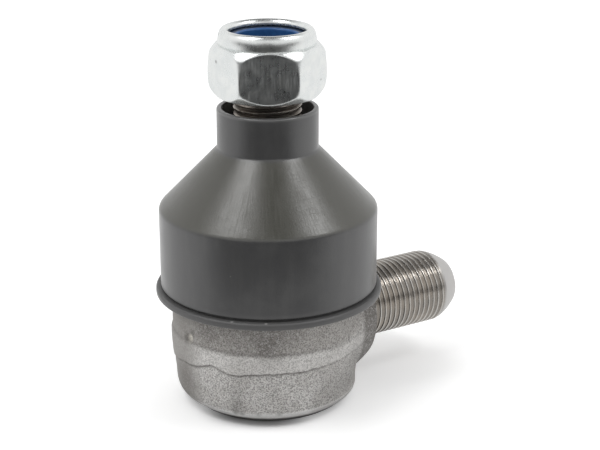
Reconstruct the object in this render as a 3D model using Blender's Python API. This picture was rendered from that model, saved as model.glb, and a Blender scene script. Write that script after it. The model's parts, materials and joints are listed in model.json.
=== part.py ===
"""Angled steering ball joint with a threaded shank, rubber boot and locking nut.

Metres, +Z up. The ball stud stands on the Z axis and the shank points along +X.
Z = 0 is the underside of the joint, where the rolled rim and the cover pad are level.
"""
import bpy
import bmesh
from math import acos, asin, atan2, cos, degrees, pi, radians, sin, sqrt, tan

# Fits
CLEARANCE = 0.0003      # gap left between pieces that seat on each other
ROUND_STEPS = 60        # facets round the large turned pieces
SMALL_STEPS = 48        # facets round the small turned pieces
ARC_STEPS = 7           # facets along a rounded stretch of a profile
BALL_STEPS = 11         # facets down the ball's side
ROLL_STEPS = 5          # facets along each half of the nut's rolled collar
LEAD_STEPS = 5          # facets along the shank's lead
LEAD_CURVE = 1.5        # how late the lead falls away: 1 is a plain cone

# Ball and its seats
BALL_D = 0.0260
BALL_FLAT_D = 0.0070    # turning flat under the ball
RACE_WALL = 0.0015      # seat thickness at the ball's equator
RACE_SPLIT = 0.0006     # gap between the two seats at the equator
RACE_RISE = 0.0077      # how far the upper seat climbs over the ball
RACE_SHOULDER = 0.0034  # straight part of the upper seat
RACE_LAND = 0.0016      # width of the upper seat's top ring
RACE_FLOOR = 0.0012     # lower seat thickness at its hole
RACE_HOLE_D = 0.01686

# Cover and preload spring
LIP_T = 0.0009          # rolled rim of the housing, under the cover
LIP_W = 0.0024          # how far the rim is rolled inwards
COVER_T = 0.0016
COVER_LEDGE = 0.0014    # cover edge outside the bore
COVER_PAD_D = 0.0190    # flat pad pressed down level with the rim
COVER_RAMP = 0.0035     # sloped ring between pad and edge
SPRING_T = 0.0013
SPRING_H = 0.0028
SPRING_HOLE_D = 0.0192

# Forged housing
HOUSING_WALL = 0.0075   # bore to the outer side
DRAFT = 0.0009          # the side leans in by this much down to the base
BASE_ROUND = 0.0032
BAND_T = 0.0005         # raised band left by the forging dies
BAND_H = 0.0044
BAND_DROP = 0.0016      # band centre below the ball centre
BAND_EDGE = 0.0003      # slope of the band's two edges
SOCKET_H = 0.0135       # ball centre to the housing's top
MOUTH_FLARE = 0.0011    # the opening widens by this much to the top
BEAD_H = 0.0018         # rim above the boot groove
BEAD_CHAMFER = 0.0005
GROOVE_H = 0.0028
GROOVE_DEPTH = 0.0022
BEAD_DROP = 0.0004      # rim radius below the body's

# Shank and its boss
SHANK_D = 0.0180
SHANK_LENGTH = 0.0526   # ball centre to the end face
SHANK_LEAD = 0.0058     # unthreaded, rounded lead at the end
SHANK_TIP_D = 0.0126
SHANK_NECK_D = 0.0166   # smooth neck behind the thread
SHANK_NECK_L = 0.0032
BOSS_D = 0.0276         # at its face
BOSS_FLARE = 0.0027     # the boss widens by this much, in radius, into the body
BOSS_PROUD = 0.0002     # boss face beyond the body's side
BOSS_ROUND = 0.0015
BOSS_ROOM = 0.0002      # boss top below the boot groove

# Ball stud
WAIST_D = 0.0140
WAIST_L = 0.0088        # waist length above the housing's top
STUD_FLARE = 0.0025     # cone between waist and shoulder
SHOULDER_D = 0.0200
SHOULDER_L = 0.0005
TAPER_L = 0.0220
TAPER_RATIO = 0.1       # diameter lost per length
THREAD_D = 0.0160
RELIEF_DEPTH = 0.0010
RELIEF_L = 0.0016
THREAD_CHAMFER = 0.0010
THREAD_IN_NUT = 0.0082  # stud end above the nut's seat

# Rubber boot
BOOT_WALL = 0.0022
BOOT_OVERHANG = 0.0032  # boot side outside the housing's side
FLANGE_W = 0.0012
FLANGE_T = 0.0017
SKIRT_H = 0.0211        # flange underside to the cone
CONE_H = 0.0144
SHOULDER_ROUND = 0.0016
NECK_D = 0.0237
NECK_WALL = 0.0011
NECK_H = 0.0095
NECK_BEVEL = 0.0004
SEAL_T = 0.0009         # inner lip that grips the stud

# Locking nut
NUT_GAP = 0.0030        # nut seat above the boot's rim
NUT_FLATS = 0.0240
NUT_CORNERS = 0.0275
NUT_SEAT_D = 0.0234
NUT_HEX_H = 0.0122
NUT_COLLAR_H = 0.0033
NUT_CHAMFER = radians(50)
NUT_LEAD = 0.0009       # countersink at the nut's seat
COLLAR_WALL = 0.0012    # collar outside the locking ring
COLLAR_ROLL = 0.0015    # radius of the collar's rolled edge
COLLAR_REACH = 0.0017   # how far the lip reaches over the locking ring
COLLAR_DIP = 0.0009     # the lip's edge below the collar's top
COLLAR_LIP_T = 0.0014   # collar top to the lip's underside
RING_BORE_D = 0.0144
RING_WALL = 0.0030
RING_H = 0.0031

# Worked-out radii
BALL_R = BALL_D / 2
SEAT_R = BALL_R + CLEARANCE
RACE_R = SEAT_R + RACE_WALL
BORE_R = RACE_R + CLEARANCE
HOUSING_R = BORE_R + HOUSING_WALL
BASE_R = HOUSING_R - DRAFT - BASE_ROUND
BAND_R = HOUSING_R + BAND_T
GROOVE_R = HOUSING_R - GROOVE_DEPTH
BEAD_R = HOUSING_R - BEAD_DROP
COVER_R = BORE_R + COVER_LEDGE
LIP_R = COVER_R + CLEARANCE - LIP_W
RACE_TOP_R = sqrt(SEAT_R**2 - RACE_RISE**2) + RACE_LAND
SHANK_R = SHANK_D / 2
BOSS_R = BOSS_D / 2
WAIST_R = WAIST_D / 2
SHOULDER_R = SHOULDER_D / 2
TAPER_END_R = SHOULDER_R - TAPER_L * TAPER_RATIO / 2
THREAD_R = THREAD_D / 2
BOOT_R = HOUSING_R + BOOT_OVERHANG
FLANGE_R = BOOT_R + FLANGE_W
NECK_R = NECK_D / 2
RING_R = RING_BORE_D / 2 + RING_WALL

# Worked-out levels, from the base up
COVER_Z = LIP_T + CLEARANCE
SPRING_Z = COVER_Z + COVER_T + CLEARANCE
LOWER_RACE_Z = SPRING_Z + SPRING_H + CLEARANCE
BALL_Z = LOWER_RACE_Z + RACE_FLOOR + sqrt(SEAT_R**2 - (RACE_HOLE_D / 2)**2)
BAND_Z = BALL_Z - BAND_DROP
HOUSING_TOP = BALL_Z + SOCKET_H
GROOVE_TOP = HOUSING_TOP - BEAD_H
GROOVE_Z = GROOVE_TOP - GROOVE_H
BOOT_Z = GROOVE_Z + CLEARANCE
CONE_Z = BOOT_Z + SKIRT_H
NECK_Z = CONE_Z + CONE_H
BOOT_TOP = NECK_Z + NECK_H
TAPER_Z = HOUSING_TOP + WAIST_L + STUD_FLARE + SHOULDER_L
THREAD_Z = TAPER_Z + TAPER_L
NUT_Z = BOOT_TOP + NUT_GAP
NUT_TOP = NUT_Z + NUT_HEX_H + NUT_COLLAR_H
RING_TOP = NUT_TOP - COLLAR_LIP_T - CLEARANCE
STUD_TOP = NUT_Z + THREAD_IN_NUT


def arc(centre_r, centre_z, radius, start, end, steps=ARC_STEPS):
    """Points of a rounded stretch of a profile, angles in degrees from +r."""
    turn = [radians(start + (end - start) * i / steps) for i in range(steps + 1)]
    return [(centre_r + radius * cos(a), centre_z + radius * sin(a)) for a in turn]


def material(name, colour, metallic, roughness):
    """A plain Principled material."""
    made = bpy.data.materials.new(name)
    made.use_nodes = True
    shader = made.node_tree.nodes["Principled BSDF"]
    shader.inputs["Base Color"].default_value = (*colour, 1.0)
    shader.inputs["Metallic"].default_value = metallic
    shader.inputs["Roughness"].default_value = roughness
    return made


def add_object(name, bm, origin_z=0.0, look=None):
    """Turn a bmesh into a named object whose origin lies on the stud axis at origin_z."""
    bmesh.ops.recalc_face_normals(bm, faces=bm.faces)
    bmesh.ops.translate(bm, verts=bm.verts, vec=(0, 0, -origin_z))
    mesh = bpy.data.meshes.new(name)
    bm.to_mesh(mesh)
    bm.free()
    mesh.shade_smooth()
    mesh.set_sharp_from_angle(angle=radians(28))
    made = bpy.data.objects.new(name, mesh)
    made.location.z = origin_z
    bpy.context.scene.collection.objects.link(made)
    if look:
        mesh.materials.append(look)
    return made


def turn_profile(profile, steps):
    """Spin a profile of (radius, height) points about Z. One that leaves the axis is a ring."""
    bm = bmesh.new()
    points = [bm.verts.new((r, 0, z)) for r, z in profile]
    pairs = list(zip(points, points[1:]))
    if profile[0][0] > 0:
        pairs.append((points[-1], points[0]))
    edges = [bm.edges.new(pair) for pair in pairs]
    bmesh.ops.spin(bm, geom=points + edges, cent=(0, 0, 0), axis=(0, 0, 1), angle=2 * pi, steps=steps,
                   use_merge=True)
    bmesh.ops.remove_doubles(bm, verts=bm.verts, dist=1e-7)
    return bm


def helper(made):
    """Mark an object as a construction aid."""
    made.hide_render = True
    made.display_type = "WIRE"
    return made


def combine(target, other, operation):
    """Add a Boolean modifier."""
    modifier = target.modifiers.new(other.name, "BOOLEAN")
    modifier.operation = operation
    modifier.solver = "EXACT"
    modifier.object = other


def make_housing(look):
    """Forged body: drafted side with its die band, boot groove, ball bore and rolled rim."""
    def side(z):
        return HOUSING_R - DRAFT * max(0.0, BAND_Z - z) / BAND_Z

    band_low = BAND_Z - BAND_H / 2
    band_high = BAND_Z + BAND_H / 2
    seat_z = BALL_Z + RACE_SHOULDER + CLEARANCE
    mouth_z = BALL_Z + RACE_RISE + CLEARANCE
    cover_r = COVER_R + CLEARANCE
    ledge_z = COVER_Z + COVER_T + CLEARANCE
    profile = [(LIP_R, 0), (BASE_R, 0)]
    profile += arc(BASE_R, BASE_ROUND, BASE_ROUND, -78, 0)
    profile += [
        (side(band_low), band_low),
        (BAND_R, band_low + BAND_EDGE),
        (BAND_R, band_high - BAND_EDGE),
        (HOUSING_R, band_high),
        (HOUSING_R, GROOVE_Z),
        (GROOVE_R, GROOVE_Z),
        (GROOVE_R, GROOVE_TOP),
        (BEAD_R, GROOVE_TOP),
        (BEAD_R, HOUSING_TOP - BEAD_CHAMFER),
        (BEAD_R - BEAD_CHAMFER, HOUSING_TOP),
        (RACE_TOP_R + CLEARANCE + MOUTH_FLARE, HOUSING_TOP),
        (RACE_TOP_R + CLEARANCE, mouth_z),
        (BORE_R, seat_z),
        (BORE_R, ledge_z),
        (cover_r, ledge_z),
        (cover_r, LIP_T),
        (LIP_R, LIP_T),
    ]
    body = add_object("housing", turn_profile(profile, ROUND_STEPS), look=look)
    combine(body, make_boss(), "UNION")
    combine(body, make_shank(), "UNION")
    return body


def make_boss():
    """Round boss that carries the shank, flared into the body and cut flat on top to clear the boot."""
    flat = GROOVE_Z - BOSS_ROOM - BALL_Z
    bm = bmesh.new()

    def rim(radius, x):
        reach = asin(flat / radius)
        turns = [reach - (pi + 2 * reach) * i / (ROUND_STEPS // 2) for i in range(ROUND_STEPS // 2 + 1)]
        return [bm.verts.new((x, radius * cos(a), BALL_Z + radius * sin(a))) for a in turns]

    root = rim(BOSS_R + BOSS_FLARE, BORE_R + HOUSING_WALL * 0.2)
    front = rim(BOSS_R, HOUSING_R + BOSS_PROUD)
    bm.faces.new(root)
    face = bm.faces.new(front)
    for i in range(len(root)):
        bm.faces.new((root[i - 1], root[i], front[i], front[i - 1]))
    bmesh.ops.bevel(bm, geom=list(face.edges), offset=BOSS_ROUND, segments=2, affect="EDGES")
    return helper(add_object("boss_form", bm))


def make_shank():
    """Shank at its thread's outer size, with a smooth neck behind and a rounded lead in front."""
    start = BORE_R + HOUSING_WALL * 0.3
    neck = HOUSING_R + BOSS_PROUD + SHANK_NECK_L
    tip_r = SHANK_TIP_D / 2
    neck_r = SHANK_NECK_D / 2
    profile = [(0, start), (neck_r, start), (neck_r, neck), (SHANK_R, neck + SHANK_R - neck_r)]
    for step in range(LEAD_STEPS + 1):
        along = step / LEAD_STEPS
        fall = (SHANK_R - tip_r) * along ** LEAD_CURVE
        profile.append((SHANK_R - fall, SHANK_LENGTH - SHANK_LEAD * (1 - along)))
    profile.append((0, SHANK_LENGTH))
    bm = turn_profile(profile, SMALL_STEPS)
    for vert in bm.verts:
        vert.co = (vert.co.z, vert.co.y, BALL_Z - vert.co.x)
    return helper(add_object("shank_form", bm))


def make_cover(look):
    """Pressed cover in the rolled rim, with its centre pad level with the rim."""
    pad = COVER_PAD_D / 2
    ramp = pad + COVER_RAMP
    profile = [
        (0, 0),
        (pad, 0),
        (ramp, COVER_Z),
        (COVER_R, COVER_Z),
        (COVER_R, COVER_Z + COVER_T),
        (ramp, COVER_Z + COVER_T),
        (pad, COVER_T),
        (0, COVER_T),
    ]
    return add_object("closing_plate", turn_profile(profile, SMALL_STEPS), look=look)


def make_spring(look):
    """Coned disc spring that pushes the lower seat up."""
    outer = RACE_R
    inner = SPRING_HOLE_D / 2
    rise = SPRING_H - SPRING_T
    profile = [
        (outer, SPRING_Z),
        (outer, SPRING_Z + SPRING_T),
        (inner, SPRING_Z + SPRING_T + rise),
        (inner, SPRING_Z + rise),
    ]
    return add_object("disc_spring", turn_profile(profile, SMALL_STEPS), look=look)


def make_lower_race(look):
    """Seat under the ball: round hole, spherical cup and straight outside."""
    hole = RACE_HOLE_D / 2
    low = -90 + degrees(asin(hole / SEAT_R))
    high = -degrees(asin(RACE_SPLIT / 2 / SEAT_R))
    profile = arc(0, BALL_Z, SEAT_R, low, high)
    profile += [(RACE_R, profile[-1][1]), (RACE_R, LOWER_RACE_Z), (hole, LOWER_RACE_Z)]
    return add_object("lower_race", turn_profile(profile, SMALL_STEPS), BALL_Z, look)


def make_upper_race(look):
    """Seat over the ball: spherical cup, straight side and a cone that holds it in the housing."""
    low = degrees(asin(RACE_SPLIT / 2 / SEAT_R))
    high = degrees(asin(RACE_RISE / SEAT_R))
    profile = arc(0, BALL_Z, SEAT_R, high, low)
    profile += [
        (RACE_R, profile[-1][1]),
        (RACE_R, BALL_Z + RACE_SHOULDER),
        (RACE_TOP_R, BALL_Z + RACE_RISE),
    ]
    return add_object("upper_race", turn_profile(profile, SMALL_STEPS), look=look)


def make_stud(look):
    """Ball, waist, shoulder, taper for the steering arm, relief and thread size."""
    flat = BALL_FLAT_D / 2
    low = -90 + degrees(asin(flat / BALL_R))
    high = degrees(acos(WAIST_R / BALL_R))
    relief_r = THREAD_R - RELIEF_DEPTH
    profile = [(0, BALL_Z - sqrt(BALL_R**2 - flat**2))]
    profile += arc(0, BALL_Z, BALL_R, low, high, BALL_STEPS)
    profile += [
        (WAIST_R, HOUSING_TOP + WAIST_L),
        (SHOULDER_R, HOUSING_TOP + WAIST_L + STUD_FLARE),
        (SHOULDER_R, TAPER_Z),
        (TAPER_END_R, THREAD_Z),
        (relief_r, THREAD_Z),
        (relief_r, THREAD_Z + RELIEF_L),
        (THREAD_R, THREAD_Z + RELIEF_L + RELIEF_DEPTH),
        (THREAD_R, STUD_TOP - THREAD_CHAMFER),
        (THREAD_R - THREAD_CHAMFER, STUD_TOP),
        (0, STUD_TOP),
    ]
    return add_object("ball_stud", turn_profile(profile, SMALL_STEPS), BALL_Z, look)


def make_boot(look):
    """Bell-shaped boot: lip in the housing groove, flange, skirt, cone, neck and inner seal lip."""
    inside = BOOT_R - BOOT_WALL
    lip_r = GROOVE_R + CLEARANCE
    lip_top = GROOVE_TOP - CLEARANCE
    lean = atan2(CONE_H, BOOT_R - NECK_R)
    drop = BOOT_WALL / cos(lean)
    setback = SHOULDER_ROUND * tan((pi / 2 - lean) / 2)
    neck_in = NECK_R - NECK_WALL
    seal_z = NECK_Z - drop / 2

    def cone_inside(r):
        return CONE_Z + (BOOT_R - r) * tan(lean) - drop

    def seal(z):
        return SHOULDER_R - (z - TAPER_Z) * TAPER_RATIO / 2 + CLEARANCE

    profile = [
        (lip_r, BOOT_Z),
        (FLANGE_R, BOOT_Z),
        (FLANGE_R, BOOT_Z + FLANGE_T),
        (BOOT_R, BOOT_Z + FLANGE_T),
    ]
    profile += arc(BOOT_R - SHOULDER_ROUND, CONE_Z - setback, SHOULDER_ROUND, 0, 90 - degrees(lean), 4)
    profile += [
        (NECK_R, NECK_Z),
        (NECK_R, BOOT_TOP - NECK_BEVEL),
        (NECK_R - NECK_BEVEL, BOOT_TOP),
        (neck_in, BOOT_TOP),
        (neck_in, NECK_Z),
        (seal(seal_z), seal_z),
        (seal(seal_z - SEAL_T), seal_z - SEAL_T),
        (NECK_R, cone_inside(NECK_R)),
        (inside, cone_inside(inside)),
        (inside, lip_top),
        (lip_r, lip_top),
    ]
    return add_object("dust_boot", turn_profile(profile, ROUND_STEPS), BALL_Z, look)


def make_nut(look):
    """Hexagon with coned ends and a collar rolled over the locking ring."""
    seat = NUT_SEAT_D / 2
    corner = NUT_CORNERS / 2
    ledge = NUT_FLATS / 2
    hex_top = NUT_Z + NUT_HEX_H
    bore = THREAD_R + CLEARANCE
    pocket = RING_R + CLEARANCE
    floor = RING_TOP - RING_H - CLEARANCE
    collar = pocket + COLLAR_WALL
    crown = collar - COLLAR_ROLL
    hole = pocket - COLLAR_REACH
    lip_z = NUT_TOP - COLLAR_LIP_T
    inner = [radians(90 * i / ROLL_STEPS) for i in range(1, ROLL_STEPS + 1)]
    profile = [
        (bore + NUT_LEAD, NUT_Z),
        (seat, NUT_Z),
        (corner, NUT_Z + (corner - seat) * tan(NUT_CHAMFER)),
        (corner, hex_top - (corner - ledge) * tan(NUT_CHAMFER)),
        (ledge, hex_top),
        (collar, hex_top),
    ]
    profile += arc(crown, NUT_TOP - COLLAR_ROLL, COLLAR_ROLL, 0, 90, ROLL_STEPS)
    profile += [(crown - (crown - hole) * sin(a), NUT_TOP - COLLAR_DIP * (1 - cos(a))) for a in inner]
    profile += [
        (hole, lip_z),
        (pocket, lip_z),
        (pocket, floor),
        (bore, floor),
        (bore, NUT_Z + NUT_LEAD),
    ]
    nut = add_object("locknut", turn_profile(profile, ROUND_STEPS), NUT_Z, look)
    combine(nut, make_hexagon(), "INTERSECT")
    return nut


def make_hexagon():
    """Six-sided bar with one flat facing along the shank."""
    circumradius = NUT_FLATS / 2 / cos(pi / 6)
    margin = NUT_COLLAR_H
    bm = bmesh.new()
    turns = [pi / 6 + pi / 3 * i for i in range(6)]
    rim = [bm.verts.new((circumradius * cos(a), circumradius * sin(a), NUT_Z - margin)) for a in turns]
    grown = bmesh.ops.extrude_face_region(bm, geom=[bm.faces.new(rim)])["geom"]
    moved = [item for item in grown if isinstance(item, bmesh.types.BMVert)]
    bmesh.ops.translate(bm, verts=moved, vec=(0, 0, NUT_TOP - NUT_Z + 2 * margin))
    return helper(add_object("hexagon_form", bm))


def make_ring(look):
    """Locking ring held under the nut's rolled lip."""
    bore = RING_BORE_D / 2
    low = RING_TOP - RING_H
    profile = [(bore, low), (RING_R, low), (RING_R, RING_TOP), (bore, RING_TOP)]
    return add_object("nylon_insert", turn_profile(profile, SMALL_STEPS), NUT_Z, look)


def main():
    """Clear the scene and build every piece."""
    for old in list(bpy.data.objects):
        bpy.data.objects.remove(old, do_unlink=True)
    forged = material("forged_steel", (0.34, 0.32, 0.30), 0.8, 0.55)
    pressed = material("pressed_steel", (0.45, 0.44, 0.43), 0.9, 0.40)
    seat = material("seat_plastic", (0.75, 0.73, 0.66), 0.0, 0.45)
    spring = material("spring_steel", (0.20, 0.19, 0.18), 0.9, 0.45)
    stud = material("stud_steel", (0.38, 0.36, 0.34), 0.9, 0.35)
    rubber = material("boot_rubber", (0.055, 0.055, 0.058), 0.0, 0.55)
    zinc = material("zinc_plate", (0.82, 0.84, 0.86), 1.0, 0.22)
    nylon = material("nylon_blue", (0.03, 0.10, 0.30), 0.0, 0.40)
    make_housing(forged)
    make_cover(pressed)
    make_spring(spring)
    make_lower_race(seat)
    make_upper_race(seat.copy())
    make_stud(stud)
    make_boot(rubber)
    make_nut(zinc)
    make_ring(nylon)


main()
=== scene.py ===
import json
from math import atan2, cos, degrees, dist, exp, hypot, pi, radians, sin, sqrt, tan
import bmesh
import bpy
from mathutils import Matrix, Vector, noise


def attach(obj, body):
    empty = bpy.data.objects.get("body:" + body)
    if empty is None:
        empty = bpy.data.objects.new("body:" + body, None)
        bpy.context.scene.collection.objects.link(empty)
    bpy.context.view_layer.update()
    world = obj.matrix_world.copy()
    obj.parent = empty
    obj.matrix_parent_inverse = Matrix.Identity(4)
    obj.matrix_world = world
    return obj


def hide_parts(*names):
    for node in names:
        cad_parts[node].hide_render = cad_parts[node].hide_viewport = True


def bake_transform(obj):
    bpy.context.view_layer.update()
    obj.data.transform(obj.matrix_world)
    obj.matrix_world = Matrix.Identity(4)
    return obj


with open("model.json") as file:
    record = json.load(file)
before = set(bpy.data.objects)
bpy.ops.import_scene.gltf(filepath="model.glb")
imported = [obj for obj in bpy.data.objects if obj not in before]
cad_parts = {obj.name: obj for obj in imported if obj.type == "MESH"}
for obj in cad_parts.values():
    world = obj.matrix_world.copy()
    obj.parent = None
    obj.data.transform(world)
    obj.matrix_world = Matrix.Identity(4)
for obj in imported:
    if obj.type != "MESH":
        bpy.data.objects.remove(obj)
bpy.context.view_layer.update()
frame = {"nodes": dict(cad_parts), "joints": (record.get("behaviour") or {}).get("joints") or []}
mm = 0.001
seamGap = 0.001 * mm  # points closer than this are one
scene = bpy.context.scene
print("frame loaded")


def anchorHeight(name):  # of a joint in the frame, in millimetres
    return next(joint["pos_m"][2] for joint in frame["joints"] if joint["name"] == name) / mm


ballHeight = anchorHeight("stud_tilt")
nutSeat = anchorHeight("nut_turn")


def clearSelection():
    if bpy.context.object and bpy.context.object.mode != "OBJECT":
        bpy.ops.object.mode_set(mode="OBJECT")
    bpy.ops.object.select_all(action="DESELECT")


def pickPiece(piece):
    clearSelection()
    piece.select_set(True)
    bpy.context.view_layer.objects.active = piece


def ease(low, high, value):  # 0 at low, 1 at high, soft between
    share = min(1.0, max(0.0, (value - low) / (high - low)))
    return share * share * (3 - 2 * share)


def swung(arm, angle):  # a flat vector, turned
    return Vector((arm.x * cos(angle) - arm.y * sin(angle), arm.x * sin(angle) + arm.y * cos(angle)))


def roundedLine(corners, closed=False):  # corners are (radius, height) or (radius, height, rounding)
    arcStep = radians(15)
    mostOfSide = 0.49  # an arc takes under half of a side
    line = []
    count = len(corners)
    for i, corner in enumerate(corners):
        here = Vector(corner[:2])
        inside = closed or 0 < i < count - 1
        if len(corner) < 3 or not inside:
            line.append(here)
            continue
        toLast = Vector(corners[i - 1][:2]) - here
        toNext = Vector(corners[(i + 1) % count][:2]) - here
        half = toLast.angle(toNext) / 2
        reach = min(corner[2] / tan(half), toLast.length * mostOfSide, toNext.length * mostOfSide)
        radius = reach * tan(half)
        centre = here + (toLast.normalized() + toNext.normalized()).normalized() * radius / sin(half)
        first = here + toLast.normalized() * reach - centre
        last = here + toNext.normalized() * reach - centre
        turn = first.angle_signed(last)
        steps = max(2, round(abs(turn) / arcStep))
        for step in range(steps + 1):
            line.append(centre + swung(first, -turn * step / steps))
    return [tuple(point) for point in line]


def angles(first, last, steps):  # along an arc, from degrees
    return [radians(first + (last - first) * step / steps) for step in range(steps + 1)]


def outline(shape, *corners):  # corners given by the names of their values
    return [tuple(shape.get(value, value) for value in corner) for corner in corners]


def closerPoints(line, gap):  # adds points on long stretches
    dense = [line[0]]
    for before, after in zip(line, line[1:]):
        parts = max(1, round(dist(before, after) / gap))
        for part in range(1, parts + 1):
            share = part / parts
            dense.append(tuple(start + (end - start) * share for start, end in zip(before, after)))
    return dense


def drawLine(name, line, closed=False):  # a line of points in the XZ plane, drawn by extruding one point
    clearSelection()
    bpy.ops.mesh.primitive_plane_add(size=mm, location=(0, 0, 0))
    piece = bpy.context.object
    piece.name = piece.data.name = name
    bpy.ops.object.mode_set(mode="EDIT")
    bpy.ops.mesh.merge(type="CENTER")
    bpy.ops.transform.translate(value=(line[0][0] * mm, 0, line[0][1] * mm))
    for before, after in zip(line, line[1:]):
        step = ((after[0] - before[0]) * mm, 0, (after[1] - before[1]) * mm)
        bpy.ops.mesh.extrude_vertices_move(TRANSFORM_OT_translate={"value": step})
    if closed:
        drawn = bmesh.from_edit_mesh(piece.data)
        drawn.verts.ensure_lookup_table()
        drawn.verts[0].select_set(True)
        drawn.verts[-1].select_set(True)
        bmesh.update_edit_mesh(piece.data)
        bpy.ops.mesh.edge_face_add()
    bpy.ops.object.mode_set(mode="OBJECT")
    return piece


def closeSeams(piece):
    pickPiece(piece)
    bpy.ops.object.mode_set(mode="EDIT")
    bpy.ops.mesh.select_all(action="SELECT")
    bpy.ops.mesh.remove_doubles(threshold=seamGap)
    bpy.ops.mesh.normals_make_consistent(inside=False)
    bpy.ops.object.mode_set(mode="OBJECT")


def wind(piece, steps, pitch=0.0, turns=1):  # turns a drawn line round Z, climbing by pitch
    pickPiece(piece)
    screw = piece.modifiers.new("wind", "SCREW")
    screw.axis = "Z"
    screw.angle = 2 * pi
    screw.steps = screw.render_steps = steps
    screw.screw_offset = pitch * mm
    screw.iterations = turns
    screw.use_merge_vertices = True
    screw.merge_threshold = seamGap
    bpy.ops.object.modifier_apply(modifier="wind")
    closeSeams(piece)
    return piece


def turned(name, shape, corners, hidden=(), closed=True):  # hidden corners follow, in wider rows
    line = roundedLine(corners + list(hidden), closed)
    if "rowGap" in shape:
        split = len(line)
        if hidden:
            split = line.index(min(line, key=lambda point: dist(point, hidden[0][:2])))
        line = closerPoints(line[:split + 1], shape["rowGap"]) + line[split + 1:]
    return wind(drawLine(name, line, closed), shape["columns"])


def cutAway(piece, place, outwards):  # keeps what lies behind a plane and closes the cut
    pickPiece(piece)
    bpy.ops.object.mode_set(mode="EDIT")
    bpy.ops.mesh.select_all(action="SELECT")
    bpy.ops.mesh.bisect(plane_co=Vector(place) * mm, plane_no=outwards, clear_outer=True)
    bpy.ops.mesh.edge_face_add()
    bpy.ops.object.mode_set(mode="OBJECT")


def combine(piece, other, work):  # other goes into the piece, or is cut from it
    pickPiece(piece)
    merge = piece.modifiers.new("merge", "BOOLEAN")
    merge.operation = work
    merge.solver = "MANIFOLD"
    merge.object = other
    bpy.ops.object.modifier_apply(modifier="merge")
    bpy.data.objects.remove(other, do_unlink=True)
    closeSeams(piece)


def scaleOut(vert, factor):  # away from the Z axis
    vert.co.x *= factor
    vert.co.y *= factor


def layAlongShank(piece):  # from the Z axis to the shank's axis
    pickPiece(piece)
    piece.rotation_euler.y = pi / 2
    piece.location.z = ballHeight * mm
    bpy.ops.object.transform_apply(location=True, rotation=True, scale=True)


def softShade(piece, angle):
    pickPiece(piece)
    bpy.ops.object.shade_smooth_by_angle(angle=radians(angle))


# camera, where the photograph was taken from
cameraSetup = dict(
    place=(-183.6, -293.2, 163.3), tilt=19.206, heading=-33.295, lens=92.6, sensor=36, nearest=10)
heading = radians(cameraSetup["heading"])
photoRight = Vector((cos(heading), sin(heading), 0))
cameraData = bpy.data.cameras.new("photoCamera")
camera = bpy.data.objects.new("photoCamera", cameraData)
scene.collection.objects.link(camera)
camera.location = Vector(cameraSetup["place"]) * mm
camera.rotation_euler = (radians(90 - cameraSetup["tilt"]), 0, heading)
cameraData.sensor_width = cameraSetup["sensor"]
cameraData.lens = cameraSetup["lens"]
cameraData.clip_start = cameraSetup["nearest"] * mm
scene.camera = camera
print("camera set")

# forged housing: body with die band and rolled foot, then the boss
housingShape = dict(
    upper=22.55, lower=22.4, foot=21.7, base=17.9, baseRound=3.4, footSide=21.45, footLow=3.0, footRound=2.2,
    footHigh=5.0, draftLow=13.15, draftHigh=16.15, draftRound=4.0, shoulderRound=0.5,
    groove=20.4, grooveLow=ballHeight + 8.9, grooveTop=ballHeight + 11.7,
    bead=22.2, beadRound=0.6, top=ballHeight + 13.5, edge=0.3,
    mouth=13.84, throat=12.74, throatHigh=ballHeight + 8.0, bore=15.1, boreTop=ballHeight + 3.7,
    coverSeat=16.8, coverTop=3.1, opening=14.4, rimThick=0.9, rimEdge=0.2, columns=360, rowGap=0.24,
    skinInside=17.2, skinZone=(2.6, 4.6), waves=[(0.13, 0.13), (0.05, 0.5), (0.02, 1.7)],  # height, fineness
    bandProud=0.30, bandLow=14.15, bandHigh=18.25, bandStep=0.26, bandDrift=0.1, driftTurn=123,
    bandBumps=[(-156, 6.0, 0.95), (-141, 8.0, -0.65), (-172, 7.0, -0.5),  # angle, width, height
               (-205, 26.0, -2.6), (-20, 9.0, 0.4), (70, 12.0, -0.5)],
    edgeWaves=[(0.16, 17, 1.7), (0.10, 41, 7.7)], topWaves=[(0.12, 9, 3.1), (0.07, 33, 5.3)],
    topSteps=[(0.45, -75, -130), (-0.9, -95, -65)], topOut=0.5, topIn=0.3,
    mismatch=(-0.60, 0.40), shiftTop=23.0, shiftZone=(1.0, 5.5),
    rimLine=3.95, rimDepth=0.14, rimWidth=0.35, rimWaves=[(0.2, 5, 2.2)],
    dentTurn=-174.6, dentHeight=19.9, dentRadius=1.8, dentDepth=0.62)


def ragged(turn, waves):  # unevenness round the body, from waves of a height, a fineness and a seed
    angle = radians(turn)
    return sum(height * noise.noise(Vector((cos(angle) * fine, sin(angle) * fine, seed)))
               for height, fine, seed in waves)


def onFront(turn):
    return -180 < turn < 0


def bandEdge(turn, shape):  # height of the die band's ragged lower edge, at an angle in degrees
    edge = shape["bandLow"] + shape["bandDrift"] * sin(radians(turn + shape["driftTurn"]))
    for place, width, height in shape["bandBumps"]:
        off = (turn - place + 180) % 360 - 180
        edge += height * exp(-(off / width) ** 2)
    return edge + ragged(turn, shape["edgeWaves"])


def bandTop(turn, shape):  # height of its upper edge, which steps on the front only
    rise = 0.0
    if onFront(turn):
        rise = sum(height * ease(start, end, turn) for height, start, end in shape["topSteps"])
    return shape["bandHigh"] + rise + ragged(turn, shape["topWaves"])


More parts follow.
